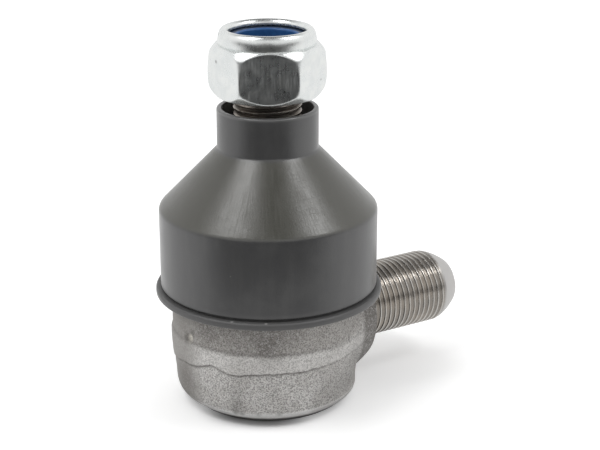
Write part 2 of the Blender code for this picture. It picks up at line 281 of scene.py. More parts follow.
def makeHousingBody(shape):
    outside = outline(
        shape, ("opening", 0, "rimEdge"), ("base", 0, "baseRound"), ("footSide", "footLow", "footRound"),
        ("foot", "footHigh", "draftRound"), ("lower", "draftLow", "draftRound"),
        ("upper", "draftHigh", "draftRound"), ("upper", "grooveLow", "shoulderRound"))
    hidden = outline(
        shape, ("groove", "grooveLow"), ("groove", "grooveTop", "edge"), ("bead", "grooveTop", "edge"),
        ("bead", "top", "beadRound"), ("mouth", "top", "edge"), ("throat", "throatHigh"), ("bore", "boreTop"),
        ("bore", "coverTop"), ("coverSeat", "coverTop"), ("coverSeat", "rimThick"),
        ("opening", "rimThick", "rimEdge"))
    return turned("forgedHousing", shape, outside, hidden)


def forgeSkin(piece, shape):  # pushes die band, waves, rim line, dent and the dies' mismatch into the body
    dentTurn = radians(shape["dentTurn"])
    dent = Vector((cos(dentTurn) * shape["upper"], sin(dentTurn) * shape["upper"], shape["dentHeight"]))
    for vert in piece.data.vertices:
        spot = vert.co / mm
        radius = hypot(spot.x, spot.y)
        if radius < shape["skinInside"] or spot.z > shape["grooveLow"] - shape["edge"]:
            continue
        turn = degrees(atan2(spot.y, spot.x))
        edge = bandEdge(turn, shape)
        top = bandTop(turn, shape)
        band = ease(edge, edge + shape["bandStep"], spot.z)
        band *= ease(top + shape["topOut"], top - shape["topIn"], spot.z)
        wave = sum(height * noise.noise(spot * fine) for height, fine in shape["waves"])
        push = (shape["bandProud"] * band + wave) * ease(*shape["skinZone"], spot.z)
        push -= shape["dentDepth"] * ease(shape["dentRadius"], 0, (spot - dent).length)
        fromRim = abs(spot.z - shape["rimLine"] - ragged(turn, shape["rimWaves"]))
        push -= shape["rimDepth"] * ease(shape["rimWidth"], 0, fromRim)
        shift = ease(shape["grooveLow"], shape["shiftTop"], spot.z) * ease(*shape["shiftZone"], spot.z)
        vert.co.x += (spot.x * push / radius + shape["mismatch"][0] * shift) * mm
        vert.co.y += (spot.y * push / radius + shape["mismatch"][1] * shift) * mm


skinMarks = dict(
    bodyEnd=(18.4, 16.8), faintest=0.35, faintTurn=(-75, -100), behind=0.6,
    creaseIn=(-0.7, 0.0), creaseOut=(0.3, 0.05), topShare=0.4, topIn=(0.0, 0.35), topOut=(1.2, 0.35),
    bandIn=(0.0, 0.3), bandOut=(0.8, -0.7))


def markSkin(piece, shape, look):  # where the band lies and where painted shade goes along its creases, for the material
    creases = piece.data.attributes.new("crease", "FLOAT", "POINT").data
    bands = piece.data.attributes.new("band", "FLOAT", "POINT").data
    for vert, crease, band in zip(piece.data.vertices, creases, bands):
        spot = vert.co / mm
        turn = degrees(atan2(spot.y - shape["mismatch"][1], spot.x - shape["mismatch"][0]))
        below = spot.z - bandEdge(turn, shape)
        above = spot.z - bandTop(turn, shape)
        body = ease(*look["bodyEnd"], spot.x)  # not on the boss
        faint = look["behind"]
        if onFront(turn):
            faint = look["faintest"] + (1 - look["faintest"]) * ease(*look["faintTurn"], turn)
        lowCrease = faint * ease(*look["creaseIn"], below) * ease(*look["creaseOut"], below)
        topCrease = look["topShare"] * ease(*look["topIn"], above) * ease(*look["topOut"], above)
        crease.value = body * max(lowCrease, topCrease)
        band.value = body * ease(*look["bandIn"], below) * ease(*look["bandOut"], above)


bossShape = dict(
    root=19.6, start=10.0, radius=13.5, end=22.8, rounding=1.4, face=10.1, faceEnd=23.05, faceRound=0.4,
    dimple=9.9, dimpleEnd=22.6, flat=ballHeight + 8.7, hollow=17.3, hollowLong=100, hollowColumns=128,
    sideFrom=10.0, waves=[(0.10, 0.35, 5), (0.04, 1.1, 0)], columns=180, rowGap=0.4)


def makeBoss(shape):  # flared into the body
    corners = outline(
        shape, (0, "start"), ("root", "start"), ("radius", "end", "rounding"),
        ("face", "faceEnd", "faceRound"), ("dimple", "dimpleEnd"), (0, "dimpleEnd"))
    boss = turned("shankBoss", shape, corners, closed=False)
    for vert in boss.data.vertices:  # forged unevenness, on the side only
        radius = hypot(vert.co.x, vert.co.y) / mm
        if radius > shape["sideFrom"]:
            push = sum(height * noise.noise(vert.co / mm * fine + Vector((off, off, off)))
                       for height, fine, off in shape["waves"])
            scaleOut(vert, 1 + push / radius)
    layAlongShank(boss)
    cutAway(boss, (0, 0, shape["flat"]), (0, 0, 1))
    clearSelection()
    bpy.ops.mesh.primitive_cylinder_add(
        vertices=shape["hollowColumns"], radius=shape["hollow"] * mm, depth=shape["hollowLong"] * mm)
    combine(boss, bpy.context.object, "DIFFERENCE")  # leaves the housing's bore free
    return boss


forgedHousing = makeHousingBody(housingShape)
forgeSkin(forgedHousing, housingShape)
combine(forgedHousing, makeBoss(bossShape), "UNION")
markSkin(forgedHousing, housingShape, skinMarks)
softShade(forgedHousing, angle=40)
print("housing forged", len(forgedHousing.data.polygons))

# threads of shank and stud
threadForm = dict(flank=33, rootRound=1.6, runUp=1.2, spareTurns=3, landZone=(0.7, 0.3))


def threadLine(shape):  # one pitch of a thread with flat crests
    crest, edge, pitch = shape["crest"], shape["edge"], shape["pitch"]
    root = crest - shape["depth"]
    run = shape["depth"] * tan(radians(threadForm["flank"]))
    rootHalf = (pitch - shape["crestFlat"] - 2 * run) / 2
    rootRound = edge * threadForm["rootRound"]
    low = rootHalf + run
    high = low + shape["crestFlat"]
    return roundedLine([(root, 0), (root, rootHalf, rootRound), (crest, low, edge), (crest, high, edge),
                        (root, pitch - rootHalf, rootRound), (root, pitch)])


def makeThread(name, shape, trim):  # wound too long, cut at both ends, then trimmed
    turns = int((shape["end"] - shape["start"]) / shape["pitch"]) + threadForm["spareTurns"]
    piece = wind(drawLine(name, threadLine(shape)), shape["columns"], shape["pitch"], turns)
    for vert in piece.data.vertices:
        vert.co.z += (shape["start"] - threadForm["runUp"] * shape["pitch"]) * mm
    cutAway(piece, (0, 0, shape["start"]), (0, 0, -1))
    cutAway(piece, (0, 0, shape["end"]), (0, 0, 1))
    for vert in piece.data.vertices:
        radius = hypot(vert.co.x, vert.co.y)
        if radius > 0:
            scaleOut(vert, trim(radius / mm, vert.co.z / mm, shape) * mm / radius)
    closeSeams(piece)
    lands = piece.data.attributes.new("land", "FLOAT", "POINT").data  # crest or groove, for the material
    low, high = (shape["crest"] - share * shape["depth"] for share in threadForm["landZone"])
    for vert, land in zip(piece.data.vertices, lands):
        land.value = ease(low, high, hypot(vert.co.x, vert.co.y) / mm)
    return piece


shankShape = dict(
    crest=9.1, depth=0.24, pitch=1.5, crestFlat=0.30, edge=0.07, start=18.0, neckEnd=24.6, threadStart=25.6,
    neck=8.45, leadStart=46.8, end=52.6, tip=6.3, curve=1.5, droop=0.28, droopZone=(20, 50), columns=96)


def shankRadius(radius, along, shape):  # trims the thread to its neck and lead
    if along > shape["leadStart"]:
        share = (along - shape["leadStart"]) / (shape["end"] - shape["leadStart"])
        return min(radius, shape["crest"] - (shape["crest"] - shape["tip"]) * share ** shape["curve"])
    grown = ease(shape["neckEnd"], shape["threadStart"], along)
    return shape["neck"] + (radius - shape["neck"]) * grown


threadedShank = makeThread("threadedShank", shankShape, shankRadius)
layAlongShank(threadedShank)
for vert in threadedShank.data.vertices:  # droops slightly towards its end, as in the photograph
    vert.co.z -= shankShape["droop"] * mm * ease(*shankShape["droopZone"], vert.co.x / mm)
softShade(threadedShank, angle=35)
print("shank threaded", len(threadedShank.data.polygons))

# ball stud, then its rolled thread
studShape = dict(
    ball=13.0, ballArc=(-74.4, 57.4, 25), foot=3.5, footHigh=5.167,
    waist=7.0, waistHigh=ballHeight + 22.3, waistRound=1.5,
    collar=10.0, collarLow=ballHeight + 24.8, collarHigh=ballHeight + 25.3, collarRound=0.4,
    taper=8.9, taperHigh=ballHeight + 47.3, edge=0.3, top=66.6, columns=96)
studThreadShape = dict(
    crest=8.0, depth=0.62, pitch=1.5, crestFlat=0.42, edge=0.07, start=66.2, end=ballHeight + 65.4,
    lead=7.0, chamfer=1.0, columns=96)


def studRadius(radius, along, shape):  # chamfered at both ends
    topped = min(radius, shape["crest"] - shape["chamfer"] + (shape["end"] - along))
    return min(topped, shape["lead"] + max(0.0, along - shape["start"]))


def makeStud(shape):
    corners = outline(shape, (0, "footHigh"), ("foot", "footHigh"))
    for angle in angles(*shape["ballArc"])[1:]:
        corners.append((shape["ball"] * cos(angle), ballHeight + shape["ball"] * sin(angle)))
    corners += outline(
        shape, ("waist", "waistHigh", "waistRound"), ("collar", "collarLow", "collarRound"),
        ("collar", "collarHigh", "edge"), ("taper", "taperHigh", "edge"), ("waist", "taperHigh", "edge"),
        ("waist", "top"), (0, "top"))
    return turned("ballStudShank", shape, corners, closed=False)


studShank = makeStud(studShape)
studThread = makeThread("studThread", studThreadShape, studRadius)
for piece in (studShank, studThread):
    softShade(piece, angle=35)
print("stud turned")

# rubber boot
bootShape = dict(
    flange=27.0, flangeLow=ballHeight + 9.2, flangeTop=ballHeight + 10.9, lowRound=0.45, highRound=0.65,
    nick=25.2, nickLow=ballHeight + 10.85, nickHigh=ballHeight + 11.4, nickRound=0.1,
    skirt=25.8, skirtLow=ballHeight + 11.52, skirtRound=0.15, shoulder=ballHeight + 30.3, shoulderRound=1.6,
    neck=11.86, neckLow=ballHeight + 44.7, neckRound=0.7, top=nutSeat - 3.0, topRound=0.45,
    neckInside=10.75, insideRound=0.25, seal=9.35, sealHigh=60.9, sealFoot=9.39, sealLow=59.9, sealRound=0.2,
    roof=11.9, roofHigh=59.3, roofRound=0.8, wall=23.6, wallTop=47.3, wallRound=2.0,
    lip=20.7, lipTop=ballHeight + 11.4, edge=0.3, columns=192, rowGap=1.2)


def makeBoot(shape):
    outside = outline(
        shape, ("lip", "flangeLow", "edge"), ("flange", "flangeLow", "lowRound"),
        ("flange", "flangeTop", "highRound"), ("nick", "nickLow", "nickRound"),
        ("nick", "nickHigh", "nickRound"), ("skirt", "skirtLow", "skirtRound"),
        ("skirt", "shoulder", "shoulderRound"), ("neck", "neckLow", "neckRound"), ("neck", "top", "topRound"))
    inside = outline(
        shape, ("neckInside", "top", "insideRound"), ("neckInside", "neckLow", "edge"),
        ("seal", "sealHigh", "sealRound"), ("sealFoot", "sealLow", "sealRound"),
        ("roof", "roofHigh", "roofRound"), ("wall", "wallTop", "wallRound"), ("wall", "lipTop", "edge"),
        ("lip", "lipTop", "edge"))
    return turned("dustBootRubber", shape, outside + inside)


dustBoot = makeBoot(bootShape)
softShade(dustBoot, angle=40)
print("boot moulded", len(dustBoot.data.polygons))

# locking nut
nutShape = dict(
    half=12.0, corner=13.9, cornerRound=0.7, seat=nutSeat, seatRadius=11.8, edge=0.3,
    chamfer=13.4, chamferHigh=nutSeat + 1.75, chamferRound=2.5,
    sideLow=nutSeat + 4.6, sideHigh=82.7, sideRound=4.0,
    shoulder=13.45, shoulderHigh=85.1, shoulderCurve=2.2, shoulderRound=2.8, roundZone=(80.5, 85.6),
    crownHigh=86.85, waist=11.05, waistHigh=87.05, waistRound=0.25, hexFrom=11.0, hexTop=87.7, soft=0.22,
    top=90.45, crown=10.05, collar=11.4, rollHigh=2.75, rollLow=1.5, rollArc=(-22, 158, 18),
    hole=8.84, lip=0.54, lipEdge=0.1, lipBack=0.3, pocket=10.5, pocketFloor=ballHeight + 67.6,
    bore=8.3, bevel=9.2, bevelHigh=nutSeat + 0.9, columns=360, rowGap=0.21)


def hexReach(turn, half, fillet):  # distance from the axis to the hexagon, corners rounded
    off = abs((turn + pi / 6) % (pi / 3) - pi / 6)
    if off < atan2((half - fillet) * tan(pi / 6), half):
        return half / cos(off)
    middle = (half - fillet) / cos(pi / 6)
    aside = pi / 6 - off
    return middle * cos(aside) + sqrt(fillet ** 2 - (middle * sin(aside)) ** 2)


def lesser(first, second, soft):  # smaller of two, with a soft edge
    near = max(0.0, soft - abs(first - second)) / soft
    return min(first, second) - near * near * soft / 4


def rolledLip(shape):  # tall curve outside, tighter inside
    curve = []
    for angle in angles(*shape["rollArc"]):
        inside = angle > pi / 2
        high = shape["rollLow"] if inside else shape["rollHigh"]
        wide = shape["crown"] - shape["hole"] if inside else shape["collar"] - shape["crown"]
        curve.append((shape["crown"] + wide * cos(angle), shape["top"] - high + high * sin(angle)))
    return curve


def pressHexagon(nut, shape):  # pulls the turned blank in to the six flats
    for vert in nut.data.vertices:
        radius = hypot(vert.co.x, vert.co.y) / mm
        height = vert.co.z / mm
        if radius > shape["hexFrom"] and height < shape["hexTop"]:
            rounder = ease(*shape["roundZone"], height)
            fillet = shape["cornerRound"] + (shape["shoulderRound"] - shape["cornerRound"]) * rounder
            hexagon = hexReach(atan2(vert.co.y, vert.co.x), shape["half"], fillet)
            scaleOut(vert, lesser(radius, hexagon, shape["soft"]) / radius)


def makeNut(shape):
    outside = outline(
        shape, ("bevel", "seat"), ("seatRadius", "seat", "edge"), ("chamfer", "chamferHigh", "chamferRound"),
        ("corner", "sideLow", "sideRound"), ("corner", "sideHigh", "sideRound"),
        ("shoulder", "shoulderHigh", "shoulderCurve"), ("half", "crownHigh", "edge"),
        ("waist", "waistHigh", "waistRound"))
    outside += rolledLip(shape)
    lipLow = outside[-1][1] - shape["lip"]
    hidden = [(shape["hole"] + shape["lipEdge"], lipLow + shape["lipEdge"]),
              (shape["hole"] + shape["lipBack"], lipLow), (shape["pocket"], lipLow)]
    hidden += outline(shape, ("pocket", "pocketFloor"), ("bore", "pocketFloor"), ("bore", "bevelHigh"))
    nut = turned("locknutHexagon", shape, outside, hidden)
    pressHexagon(nut, shape)
    return nut


locknut = makeNut(nutShape)
softShade(locknut, angle=60)
print("nut made", len(locknut.data.polygons))

# locking ring
ringShape = dict(
    bore=7.2, outer=10.2, low=ballHeight + 67.9, top=ballHeight + 71.0, lowRound=0.4, topRound=0.45, edge=0.2,
    columns=128, rowGap=0.5)


def makeRing(shape):
    corners = outline(shape, ("bore", "low", "lowRound"), ("outer", "low", "edge"), ("outer", "top", "edge"),
                      ("bore", "top", "topRound"))
    return turned("nylonRing", shape, corners)


nylonRing = makeRing(ringShape)
softShade(nylonRing, angle=50)

for piece, body, slot, node in [
        (forgedHousing, "socket", "forged_steel", "housing"),
        (threadedShank, "socket", "forged_steel", "housing"),
        (studShank, "stud", "stud_steel", "ball_stud"),
        (studThread, "stud", "stud_steel", "ball_stud"),
        (locknut, "nut", "zinc_plate", "locknut"),
        (nylonRing, "nut_lift", "nylon_blue", "nylon_insert")]:
    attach(piece, body)
    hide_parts(node)
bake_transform(dustBoot)
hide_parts("dust_boot")


# materials
def dress(piece, made):
    piece.data.materials.clear()
    piece.data.materials.append(made)


def plug(tree, socket, value):  # a link or a plain value
    if isinstance(value, bpy.types.NodeSocket):
        tree.links.new(value, socket)
    else:
        socket.default_value = value


def put(tree, kind, values=None, **settings):  # a node with its settings and inputs
    node = tree.nodes.new(kind)
    for key, value in settings.items():
        setattr(node, key, value)
    for key, value in (values or {}).items():
        plug(tree, node.inputs[key], value)
    return node


def calc(tree, work, *terms):  # one kind of sum over its terms, in order
    result = terms[0]
    for term in terms[1:]:
        result = put(tree, "ShaderNodeMath", {0: result, 1: term}, operation=work).outputs[0]
    return result


def plus(tree, *terms):
    return calc(tree, "ADD", *terms)


def times(tree, *terms):
    return calc(tree, "MULTIPLY", *terms)


def invert(tree, mask):
    return calc(tree, "SUBTRACT", 1.0, mask)


def measure(tree, work, first, second=(0, 0, 0)):  # a number from vectors
    return put(tree, "ShaderNodeVectorMath", {0: first, 1: second}, operation=work).outputs["Value"]


def flatVector(tree, first, second):
    return put(tree, "ShaderNodeCombineXYZ", {0: first, 1: second}).outputs[0]


def between(tree, value, low, high, start=0.0, end=1.0):  # soft ramp from low to high
    limits = {"Value": value, "From Min": low, "From Max": high, "To Min": start, "To Max": end}
    return put(tree, "ShaderNodeMapRange", limits, interpolation_type="SMOOTHSTEP").outputs["Result"]


def zone(tree, place, ends, start=0.0, end=1.0):  # the same between two places in millimetres
    return between(tree, place, ends[0] * mm, ends[1] * mm, start, end)


def smudge(tree, spot, place, reach):  # a soft round mark
    away = measure(tree, "DISTANCE", spot, Vector(place) * mm)
    return zone(tree, away, (reach, 0.15 * reach))


def blendColours(tree, share, first, second):
    node = put(tree, "ShaderNodeMix", {"Factor": share}, data_type="RGBA")
    for key, value in (("A", first), ("B", second)):
        socket = next(i for i in node.inputs if i.name == key and i.type == "RGBA")
        plug(tree, socket, value if isinstance(value, bpy.types.NodeSocket) else (*value, 1))
    return next(o for o in node.outputs if o.type == "RGBA")


def coat(tree, colour, coats, **masks):  # lays each named coat, a strength and a tone, through its mask
    for name, mask in masks.items():
        strength, tone = coats[name]
        colour = blendColours(tree, times(tree, mask, strength), colour, tone)
    return colour


def newGroup(name, **inputs):  # from a vector and named inputs to one mask
    group = bpy.data.node_groups.new(name, "ShaderNodeTree")
    group.interface.new_socket(name="Vector", in_out="INPUT", socket_type="NodeSocketVector")
    for label, value in inputs.items():
        kind = "NodeSocketFloat" if isinstance(value, float) else "NodeSocketVector"
        group.interface.new_socket(name=label, in_out="INPUT", socket_type=kind).default_value = value
    group.interface.new_socket(name="Mask", in_out="OUTPUT", socket_type="NodeSocketFloat")
    return group, group.nodes.new("NodeGroupInput").outputs, group.nodes.new("NodeGroupOutput").inputs


def noiseMask(group, given, result, **values):  # noise between the group's low and high
    cloud = put(group, "ShaderNodeTexNoise", {"Detail": given["Detail"], **values})
    group.links.new(between(group, cloud.outputs[0], given["Low"], given["High"]), result["Mask"])


def makeGrainGroup():  # cloudy grain of one size
    group, given, result = newGroup("surfaceGrain", Size=1.0, Detail=3.0, Low=0.35, High=0.65, Twist=0.0)
    scale = calc(group, "DIVIDE", 1 / mm, given["Size"])  # size in millimetres
    noiseMask(group, given, result, Vector=given["Vector"], Scale=scale, Roughness=0.55,
              Distortion=given["Twist"])
    return group


def makeStreakGroup():  # drawn-out marks, fine across and long along the axis
    group, given, result = newGroup("drawnMarks", Stretch=(1.0, 1.0, 1.0), Detail=3.0, Low=0.35, High=0.65)
    ways = {0: given["Vector"], 1: given["Stretch"]}
    drawn = put(group, "ShaderNodeVectorMath", ways, operation="MULTIPLY").outputs[0]
    noiseMask(group, given, result, Vector=drawn, Scale=1 / mm, Roughness=0.6)
    return group


def makeSpeckGroup():  # scattered pits or dust, one per cell at most
    group, given, result = newGroup("scatteredSpecks", Spacing=1.0, Width=0.3, Share=0.3)
    scale = calc(group, "DIVIDE", 1 / mm, given["Spacing"])
    cell = put(group, "ShaderNodeTexVoronoi", {"Vector": given["Vector"], "Scale": scale})
    pick = put(group, "ShaderNodeSeparateColor", {0: cell.outputs["Color"]})
    chosen = calc(group, "LESS_THAN", pick.outputs[0], given["Share"])
    dot = between(group, cell.outputs["Distance"], given["Width"], times(group, given["Width"], 0.55))
    group.links.new(times(group, dot, chosen), result["Mask"])
    return group


grainGroup = makeGrainGroup()
streakGroup = makeStreakGroup()
speckGroup = makeSpeckGroup()


def useGroup(tree, group, **values):
    return put(tree, "ShaderNodeGroup", values, node_tree=group).outputs[0]


def grain(tree, spot, size, detail=3.0, low=0.35, high=0.65, twist=0.0):
    return useGroup(tree, grainGroup, Vector=spot, Size=size, Detail=detail, Low=low, High=high, Twist=twist)


def marks(tree, spot, stretch, detail=3.0, low=0.35, high=0.65):
    return useGroup(tree, streakGroup, Vector=spot, Stretch=stretch, Detail=detail, Low=low, High=high)


def specks(tree, spot, spacing, width, share):
    return useGroup(tree, speckGroup, Vector=spot, Spacing=spacing, Width=width, Share=share)


def readMark(tree, name):  # what a piece's mesh says about itself
    return put(tree, "ShaderNodeAttribute", attribute_name=name).outputs["Fac"]


def newMaterial(name, metallic):
    made = bpy.data.materials.new(name)
    made.use_nodes = True
    tree = made.node_tree
    shader = tree.nodes["Principled BSDF"]
    shader.inputs["Metallic"].default_value = metallic
    spot = tree.nodes.new("ShaderNodeTexCoord").outputs["Object"]
    places = put(tree, "ShaderNodeSeparateXYZ", {0: spot}).outputs
    return made, tree, shader, spot, places


def feed(tree, shader, colour, roughness, height, depth):
    plug(tree, shader.inputs["Base Color"], colour)
    plug(tree, shader.inputs["Roughness"], roughness)
    bump = put(tree, "ShaderNodeBump", {"Height": height, "Distance": depth * mm})
    tree.links.new(bump.outputs["Normal"], shader.inputs["Normal"])


forgedLook = dict(
    metal=0.25, dark=(0.63, 0.612, 0.59), pale=(0.74, 0.725, 0.705), rough=0.6, footShine=0.2,
    footZone=(4.0, 3.4), upperZone=(17.8, 19.0), bossZone=(15.6, 17.8), edgeZone=(-14.0, -20.0),
    shadedZone=(22.5, 26.3), footShadeZone=(2.4, 1.4), dent=(-23.0, -1.9, 19.75), dentReach=1.4,
    calmBand=0.3, calmFoot=0.85, calmEdge=0.7, wormsHigh=0.8, pepperDeep=0.9, relief=0.04,
    stains=[  # place, reach and strength
        # the first five marks, high on the front, are painted shade under the boot's flange
        ((-12.8, -18.6, 22.6), 6.5, 0.55), ((-12.5, -18.8, 20.8), 3.4, 0.5),
        ((-17.5, -14.0, 23.5), 7.0, 0.35), ((-21.4, -7.2, 22.5), 5.0, 0.5),
        ((-7.7, -21.2, 24.0), 6.0, 0.35), ((-22.4, 1.2, 8.5), 7.0, 0.5),
        ((-17.4, -13.5, 5.6), 3.0, 0.5), ((-17.5, -13.7, 9.0), 3.2, 0.3), ((5.8, -21.2, 7.0), 8.0, 0.3),
        # of these, the two beside the dent are painted shade round it
        ((13.5, -17.5, 9.0), 10.0, 0.5), ((-23.1, -0.9, 19.6), 2.2, 0.75), ((-22.9, -2.9, 21.3), 1.6, 0.75),
        ((-17.6, -12.9, 3.6), 1.3, 0.55), ((-16.6, -14.2, 3.4), 1.2, 0.6), ((-9.6, -19.6, 3.6), 1.3, 0.5),
        ((-13.7, -16.9, 3.3), 1.0, 0.3)])
# the coats under the flange, under the foot and along the band's creases are painted shade, the dent's glint
# a painted highlight; the foot and upper coats are partly painted light
forgedCoats = dict(
    band=(0.6, (0.72, 0.705, 0.685)), upper=(0.57, (0.30, 0.275, 0.25)), boss=(0.92, (0.105, 0.094, 0.082)),
    foot=(0.8, (0.80, 0.795, 0.785)), edge=(0.8, (0.27, 0.256, 0.24)), shaded=(0.4, (0.19, 0.175, 0.16)),
    stain=(1.0, (0.15, 0.138, 0.126)), glint=(0.95, (0.92, 0.88, 0.78)), patch=(0.16, (0.20, 0.185, 0.17)),
    pepper=(0.66, (0.12, 0.112, 0.105)), worms=(0.5, (0.66, 0.65, 0.635)), crease=(0.7, (0.10, 0.092, 0.085)),
    scale=(1.0, (0.12, 0.116, 0.112)))


def makeForgedSteel(look, coats):
    made, tree, shader, spot, places = newMaterial("forgedSteel", look["metal"])
    z = places["Z"]
    # painted shade along the die band's creases
    crease = readMark(tree, "crease")
    band = readMark(tree, "band")
    pepper = grain(tree, spot, size=0.33, detail=2.0, low=0.47, high=0.56, twist=0.5)  # blasted grain
    worms = grain(tree, spot, size=0.5, detail=2.0, low=0.50, high=0.62, twist=1.6)
    cloud = grain(tree, spot, size=5.0, detail=4.0)
    patch = grain(tree, spot, size=9.0, low=0.42, high=0.62)
    foot = zone(tree, z, look["footZone"])  # smooth where the rim is rolled, and paler as a painted reflection of the floor
    # darker brown scale above the band, partly painted shade under the boot's flange
    upper = times(tree, zone(tree, z, look["upperZone"]), invert(tree, band))
    boss = zone(tree, places["X"], look["bossZone"])
    aside = measure(tree, "DOT_PRODUCT", spot, photoRight)
    edge = zone(tree, aside, look["edgeZone"])  # darker and calmer towards the left, as seen from the camera
    shaded = zone(tree, z, look["shadedZone"])  # painted shade under the boot's flange
    glint = smudge(tree, spot, look["dent"], look["dentReach"])  # painted highlight in the dent
    scale = zone(tree, z, look["footShadeZone"])  # painted shade under the rolled foot
    calm = calc(tree, "MAXIMUM", times(tree, band, look["calmBand"]), times(tree, foot, look["calmFoot"]),
                times(tree, edge, look["calmEdge"]))
    lively = invert(tree, calm)
    colour = blendColours(tree, cloud, look["dark"], look["pale"])
    colour = coat(tree, colour, coats, band=band, upper=upper, boss=boss, foot=foot, edge=edge, shaded=shaded)
    for place, reach, strength in look["stains"]:
        colour = coat(tree, colour, coats, stain=times(tree, smudge(tree, spot, place, reach), strength))
    colour = coat(tree, colour, coats, glint=glint, patch=patch, pepper=times(tree, pepper, lively),
                  worms=times(tree, worms, lively), crease=crease, scale=scale)
    pepperDeep = times(tree, pepper, look["pepperDeep"])
    grit = calc(tree, "SUBTRACT", times(tree, worms, look["wormsHigh"]), pepperDeep)
    rough = calc(tree, "SUBTRACT", look["rough"], times(tree, foot, look["footShine"]))
    feed(tree, shader, colour, rough, times(tree, grit, lively), look["relief"])
    return made


threadLook = dict(
    metal=0.92, across=4.0, round=0.3, cloudTint=(0.6, 0.6, 0.6), cloudShare=0.3,
    oilTint=(0.85, 0.74, 0.62), oilShare=0.25, leadTone=(0.63, 0.62, 0.61), leadShare=0.85, leadRun=1.2,
    leadRough=0.2, cloudRough=0.07, cloudHigh=0.6, relief=0.02)
shankSteel = dict(
    name="cutThread", axis=0, bright=(0.54, 0.52, 0.49), groove=(0.235, 0.214, 0.19), rough=0.18, dull=0.0)
studSteel = dict(
    name="rolledThread", axis=2, bright=(0.36, 0.33, 0.30), groove=(0.09, 0.08, 0.07), rough=0.18, dull=0.3)


def tinted(tone, tint):
    return tuple(part * by for part, by in zip(tone, tint))


def makeThreadSteel(steel, look, shape):
    made, tree, shader, spot, places = newMaterial(steel["name"], look["metal"])
    bright = steel["bright"]
    coats = dict(
        cloud=(look["cloudShare"], tinted(bright, look["cloudTint"])),
        oil=(look["oilShare"], tinted(bright, look["oilTint"])), lead=(look["leadShare"], look["leadTone"]))
    land = readMark(tree, "land")
    cloud = grain(tree, spot, size=1.6, detail=4.0, low=0.3, high=0.7)
    oil = grain(tree, spot, size=6.0)
    stretch = [look["round"]] * 3
    stretch[steel["axis"]] = look["across"]
    tool = marks(tree, spot, stretch, detail=2.0)  # turning lines
    colour = blendColours(tree, land, steel["groove"], bright)
    colour = coat(tree, colour, coats, cloud=cloud, oil=oil)
    dull = times(tree, invert(tree, land), steel["dull"])  # in the grooves
    rough = plus(tree, steel["rough"], dull, times(tree, cloud, look["cloudRough"]))
    if "leadStart" in shape:  # turned plain, no thread
        ends = (shape["leadStart"], shape["leadStart"] + look["leadRun"])
        lead = zone(tree, places[steel["axis"]], ends)
        colour = coat(tree, colour, coats, lead=lead)
        rough = plus(tree, rough, times(tree, lead, look["leadRough"]))
    feed(tree, shader, colour, rough, plus(tree, tool, times(tree, cloud, look["cloudHigh"])), look["relief"])
    return made


rubberLook = dict(
    specular=1.0, sheen=0.55, sheenRough=0.3, dark=(0.042, 0.042, 0.043), pale=(0.052, 0.052, 0.052),
    rimZone=(bootShape["top"] - 0.9, bootShape["top"] - 0.35),
    lipZone=(bootShape["flangeTop"] + 0.3, bootShape["flangeTop"] + 0.05),
    coneLow=(47.5, 48.5), coneHigh=(62.5, 61.5), coneRadius=18, swirls=0.7,
    nickRadius=(26.1, 25.6), nickZone=(29.45, 29.3), innerRadius=(11.15, 10.9), innerZone=(61.5, 62.5),
    flecks=[(-14.6, -22.0, 28.6), (-20.4, -16.8, 28.6)], fleckReach=0.5,
    rough=0.30, bloomRough=0.08, lipRough=0.22, scratchRough=0.09, nickRough=0.3, relief=0.006)
# the groove coat over the flange is painted shade, the coat inside the neck painted light, and the rim and
# lip coats partly painted highlight and sheen
rubberCoats = dict(
    smear=(0.25, (0.085, 0.084, 0.081)), rim=(0.6, (0.13, 0.13, 0.128)), dust=(0.4, (0.24, 0.23, 0.22)),
    lip=(0.5, (0.075, 0.074, 0.073)), fleck=(0.7, (0.36, 0.355, 0.345)), scratch=(0.1, (0.16, 0.152, 0.135)),
    cone=(0.7, (0.040, 0.0385, 0.024)), nick=(1.0, (0.032, 0.032, 0.031)), inner=(1.0, (0.20, 0.198, 0.194)))


